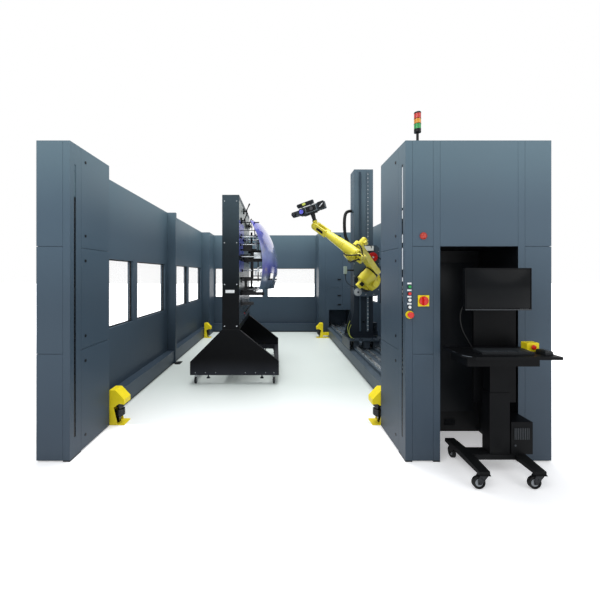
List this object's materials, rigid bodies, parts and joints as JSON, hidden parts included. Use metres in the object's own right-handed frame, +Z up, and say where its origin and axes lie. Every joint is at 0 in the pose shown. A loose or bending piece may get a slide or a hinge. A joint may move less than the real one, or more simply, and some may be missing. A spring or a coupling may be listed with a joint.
{
  "type": "robot measuring cell",
  "caption": "Walk-in optical measuring cell: arm with a scanning head on a lift column and floor axis, a fixture cart with a clamped body panel, and an operator trolley.",
  "frame": {"origin": "On the floor, under the middle of the bounding box of the whole system at rest", "axes": "+X to the right seen from the entrance, +Y along the length from the entrance to the back wall, +Z up"},
  "size_m": [4.75, 7.567, 3.914],
  "materials": {
    "panel_paint": "satin",
    "frame_paint": "satin",
    "window_glass": "gloss",
    "dark_frame": "satin",
    "curtain_black": "matte",
    "signal_yellow": "satin",
    "bright_steel": "satin",
    "lamp_plastic": "gloss",
    "dome_plastic": "gloss",
    "axis_paint": "satin",
    "robot_paint": "satin",
    "green_plastic": "gloss",
    "red_plastic": "gloss",
    "white_plastic": "gloss",
    "black_plastic": "matte",
    "hose_rubber": "matte",
    "sensor_grey": "satin",
    "lens_glass": "gloss",
    "piece_plastic": "satin",
    "tyre_rubber": "matte",
    "screen_plastic": "gloss"
  },
  "bodies": {
    "cell": {"wall_panels": "panel_paint", "window_panes": "window_glass", "wall_framing": "frame_paint", "entrance_pillar": "frame_paint", "front_cabinet": "frame_paint", "rear_cabinet": "frame_paint", "light_curtains": "curtain_black", "cover_plates": "panel_paint", "locks_and_bezels": "bright_steel", "yellow_plates": "signal_yellow", "warning_dome": "dome_plastic", "signal_tower": "black_plastic", "tower_lamps": "lamp_plastic", "scanner_hoods": "signal_yellow", "scanner_heads": "black_plastic", "axis_bed": "axis_paint", "axis_rails": "bright_steel"},
    "main_switch": {"main_switch_knob": "red_plastic"},
    "green_push": {"green_button": "green_plastic"},
    "red_push": {"red_button": "red_plastic"},
    "upper_white_push": {"white_button_upper": "white_plastic"},
    "lower_white_push": {"white_button_lower": "white_plastic"},
    "stop_mushroom": {"emergency_stop": "red_plastic"},
    "carriage": {"axis_carriage": "axis_paint", "column": "axis_paint"},
    "lift": {"lift_plate": "axis_paint", "lift_dress": "sensor_grey", "robot_base": "robot_paint", "supply_hose": "hose_rubber", "arm_cables": "hose_rubber"},
    "turret": {"robot_turret": "robot_paint"},
    "arm_link": {"upper_arm": "robot_paint"},
    "elbow": {"elbow_housing": "robot_paint"},
    "forearm_tube": {"forearm": "robot_paint"},
    "wrist_hub": {"wrist": "robot_paint"},
    "measuring_head": {"tool_bracket": "dark_frame", "sensor_body": "sensor_grey", "sensor_lenses": "lens_glass"},
    "trolley": {"trolley_frame": "dark_frame"},
    "table": {"trolley_table": "dark_frame", "input_devices": "black_plastic", "stop_box": "signal_yellow"},
    "screen": {"monitor": "screen_plastic"},
    "table_stop": {"stop_box_button": "red_plastic"},
    "cart": {"cart_frame": "dark_frame", "panel_holders": "dark_frame", "body_panel": "piece_plastic"},
    "lever": {"clamp_lever": "bright_steel"},
    "cart_swivel_left": {"cart_fork_left": "bright_steel"},
    "cart_front_wheel_left": {"cart_wheel_front_left": "tyre_rubber"},
    "cart_rear_wheel_left": {"cart_wheel_rear_left": "tyre_rubber"},
    "cart_swivel_right": {"cart_fork_right": "bright_steel"},
    "cart_front_wheel_right": {"cart_wheel_front_right": "tyre_rubber"},
    "cart_rear_wheel_right": {"cart_wheel_rear_right": "tyre_rubber"},
    "trolley_swivel_left": {"trolley_fork_left": "bright_steel"},
    "trolley_front_wheel_left": {"trolley_wheel_front_left": "tyre_rubber"},
    "trolley_rear_wheel_left": {"trolley_wheel_rear_left": "tyre_rubber"},
    "trolley_swivel_right": {"trolley_fork_right": "bright_steel"},
    "trolley_front_wheel_right": {"trolley_wheel_front_right": "tyre_rubber"},
    "trolley_rear_wheel_right": {"trolley_wheel_rear_right": "tyre_rubber"}
  },
  "joints": [
    {"name": "main_switch_turn", "type": "hinge", "parent": "cell", "child": "main_switch", "pos_m": [1.1935, -3.3665, 1.486], "axis": [0, -1, 0], "range_deg": [0, 90]},
    {"name": "green_button_press", "type": "slide", "parent": "cell", "child": "green_push", "axis": [0, 1, 0], "range_m": [0, 0.004], "stiffness_N_per_m": 900, "springref_m": -0.002},
    {"name": "red_button_press", "type": "slide", "parent": "cell", "child": "red_push", "axis": [0, 1, 0], "range_m": [0, 0.004], "stiffness_N_per_m": 900, "springref_m": -0.002},
    {"name": "upper_white_button_press", "type": "slide", "parent": "cell", "child": "upper_white_push", "axis": [0, 1, 0], "range_m": [0, 0.004], "stiffness_N_per_m": 900, "springref_m": -0.002},
    {"name": "lower_white_button_press", "type": "slide", "parent": "cell", "child": "lower_white_push", "axis": [0, 1, 0], "range_m": [0, 0.004], "stiffness_N_per_m": 900, "springref_m": -0.002},
    {"name": "emergency_stop_press", "type": "slide", "parent": "cell", "child": "stop_mushroom", "axis": [0, 1, 0], "range_m": [0, 0.005], "stiffness_N_per_m": 3000, "springref_m": -0.002},
    {"name": "axis_travel", "type": "slide", "parent": "cell", "child": "carriage", "axis": [0, 1, 0], "range_m": [-1, 2]},
    {"name": "lift_travel", "type": "slide", "parent": "carriage", "child": "lift", "axis": [0, 0, 1], "range_m": [-0.8, 1.2]},
    {"name": "waist_turn", "type": "hinge", "parent": "lift", "child": "turret", "pos_m": [1.673, 0.321, 1.629], "axis": [0, -1, 0], "range_deg": [-40, 18]},
    {"name": "shoulder_swing", "type": "hinge", "parent": "turret", "child": "arm_link", "pos_m": [1.59334, -0.097, 1.70486], "axis": [-0.6896, 0, -0.7242], "range_deg": [-22, 28]},
    {"name": "elbow_swing", "type": "hinge", "parent": "arm_link", "child": "elbow", "pos_m": [1.16673, -0.62187, 2.11111], "axis": [-0.6896, 0, -0.7242], "range_deg": [-25, 40]},
    {"name": "forearm_roll", "type": "hinge", "parent": "elbow", "child": "forearm_tube", "pos_m": [1.12245, -0.70099, 2.15328], "axis": [-0.573, 0.6115, 0.5456], "range_deg": [-160, 160]},
    {"name": "wrist_swing", "type": "hinge", "parent": "forearm_tube", "child": "wrist_hub", "pos_m": [0.59416, -0.13716, 2.65637], "axis": [0.801, 0.5587, 0.2149], "range_deg": [-100, 50]},
    {"name": "head_roll", "type": "hinge", "parent": "wrist_hub", "child": "measuring_head", "pos_m": [0.59416, -0.13716, 2.65637], "axis": [-0.2702, 0.017, 0.9627], "range_deg": [-160, 160]},
    {"name": "trolley_roll", "type": "slide", "parent": "cell", "child": "trolley", "axis": [0, 1, 0], "range_m": [-1.5, 0.02]},
    {"name": "table_lift", "type": "slide", "parent": "trolley", "child": "table", "axis": [0, 0, 1], "range_m": [-0.1, 0.25]},
    {"name": "screen_tilt", "type": "hinge", "parent": "table", "child": "screen", "pos_m": [1.749, -3.5155, 1.602], "axis": [1, 0, 0], "range_deg": [-15, 15]},
    {"name": "table_stop_press", "type": "slide", "parent": "table", "child": "table_stop", "axis": [0, 1, 0], "range_m": [0, 0.004], "stiffness_N_per_m": 2000, "springref_m": -0.002},
    {"name": "cart_roll", "type": "slide", "parent": "cell", "child": "cart", "axis": [0, 1, 0], "range_m": [-2, 2.5]},
    {"name": "lever_swing", "type": "hinge", "parent": "cart", "child": "lever", "pos_m": [-0.562, -0.9295, 1.254], "axis": [0, 1, 0], "range_deg": [-100, 10]},
    {"name": "cart_swivel_turn_left", "type": "hinge", "parent": "cart", "child": "cart_swivel_left", "pos_m": [-1.444, -1.1145, 0.0001], "axis": [0, 0, 1], "continuous": true},
    {"name": "cart_front_spin_left", "type": "hinge", "parent": "cart_swivel_left", "child": "cart_front_wheel_left", "pos_m": [-1.444, -1.1525, 0.05], "axis": [1, 0, 0], "continuous": true},
    {"name": "cart_swivel_turn_right", "type": "hinge", "parent": "cart", "child": "cart_swivel_right", "pos_m": [-0.201, -1.1145, 0.0001], "axis": [0, 0, 1], "continuous": true},
    {"name": "cart_front_spin_right", "type": "hinge", "parent": "cart_swivel_right", "child": "cart_front_wheel_right", "pos_m": [-0.201, -1.1525, 0.05], "axis": [1, 0, 0], "continuous": true},
    {"name": "cart_rear_spin_left", "type": "hinge", "parent": "cart", "child": "cart_rear_wheel_left", "pos_m": [-1.444, 0.7165, 0.05], "axis": [1, 0, 0], "continuous": true},
    {"name": "cart_rear_spin_right", "type": "hinge", "parent": "cart", "child": "cart_rear_wheel_right", "pos_m": [-0.201, 0.7165, 0.05], "axis": [1, 0, 0], "continuous": true},
    {"name": "trolley_swivel_turn_left", "type": "hinge", "parent": "trolley", "child": "trolley_swivel_left", "pos_m": [1.51, -3.7425, 0.0001], "axis": [0, 0, 1], "continuous": true},
    {"name": "trolley_front_spin_left", "type": "hinge", "parent": "trolley_swivel_left", "child": "trolley_front_wheel_left", "pos_m": [1.472, -3.7425, 0.051], "axis": [0, 1, 0], "continuous": true},
    {"name": "trolley_swivel_turn_right", "type": "hinge", "parent": "trolley", "child": "trolley_swivel_right", "pos_m": [1.96, -3.7425, 0.0001], "axis": [0, 0, 1], "continuous": true},
    {"name": "trolley_front_spin_right", "type": "hinge", "parent": "trolley_swivel_right", "child": "trolley_front_wheel_right", "pos_m": [1.922, -3.7425, 0.051], "axis": [0, 1, 0], "continuous": true},
    {"name": "trolley_rear_spin_left", "type": "hinge", "parent": "trolley", "child": "trolley_rear_wheel_left", "pos_m": [1.502, -3.2815, 0.051], "axis": [1, 0, 0], "continuous": true},
    {"name": "trolley_rear_spin_right", "type": "hinge", "parent": "trolley", "child": "trolley_rear_wheel_right", "pos_m": [1.952, -3.2815, 0.051], "axis": [1, 0, 0], "continuous": true}
  ]
}
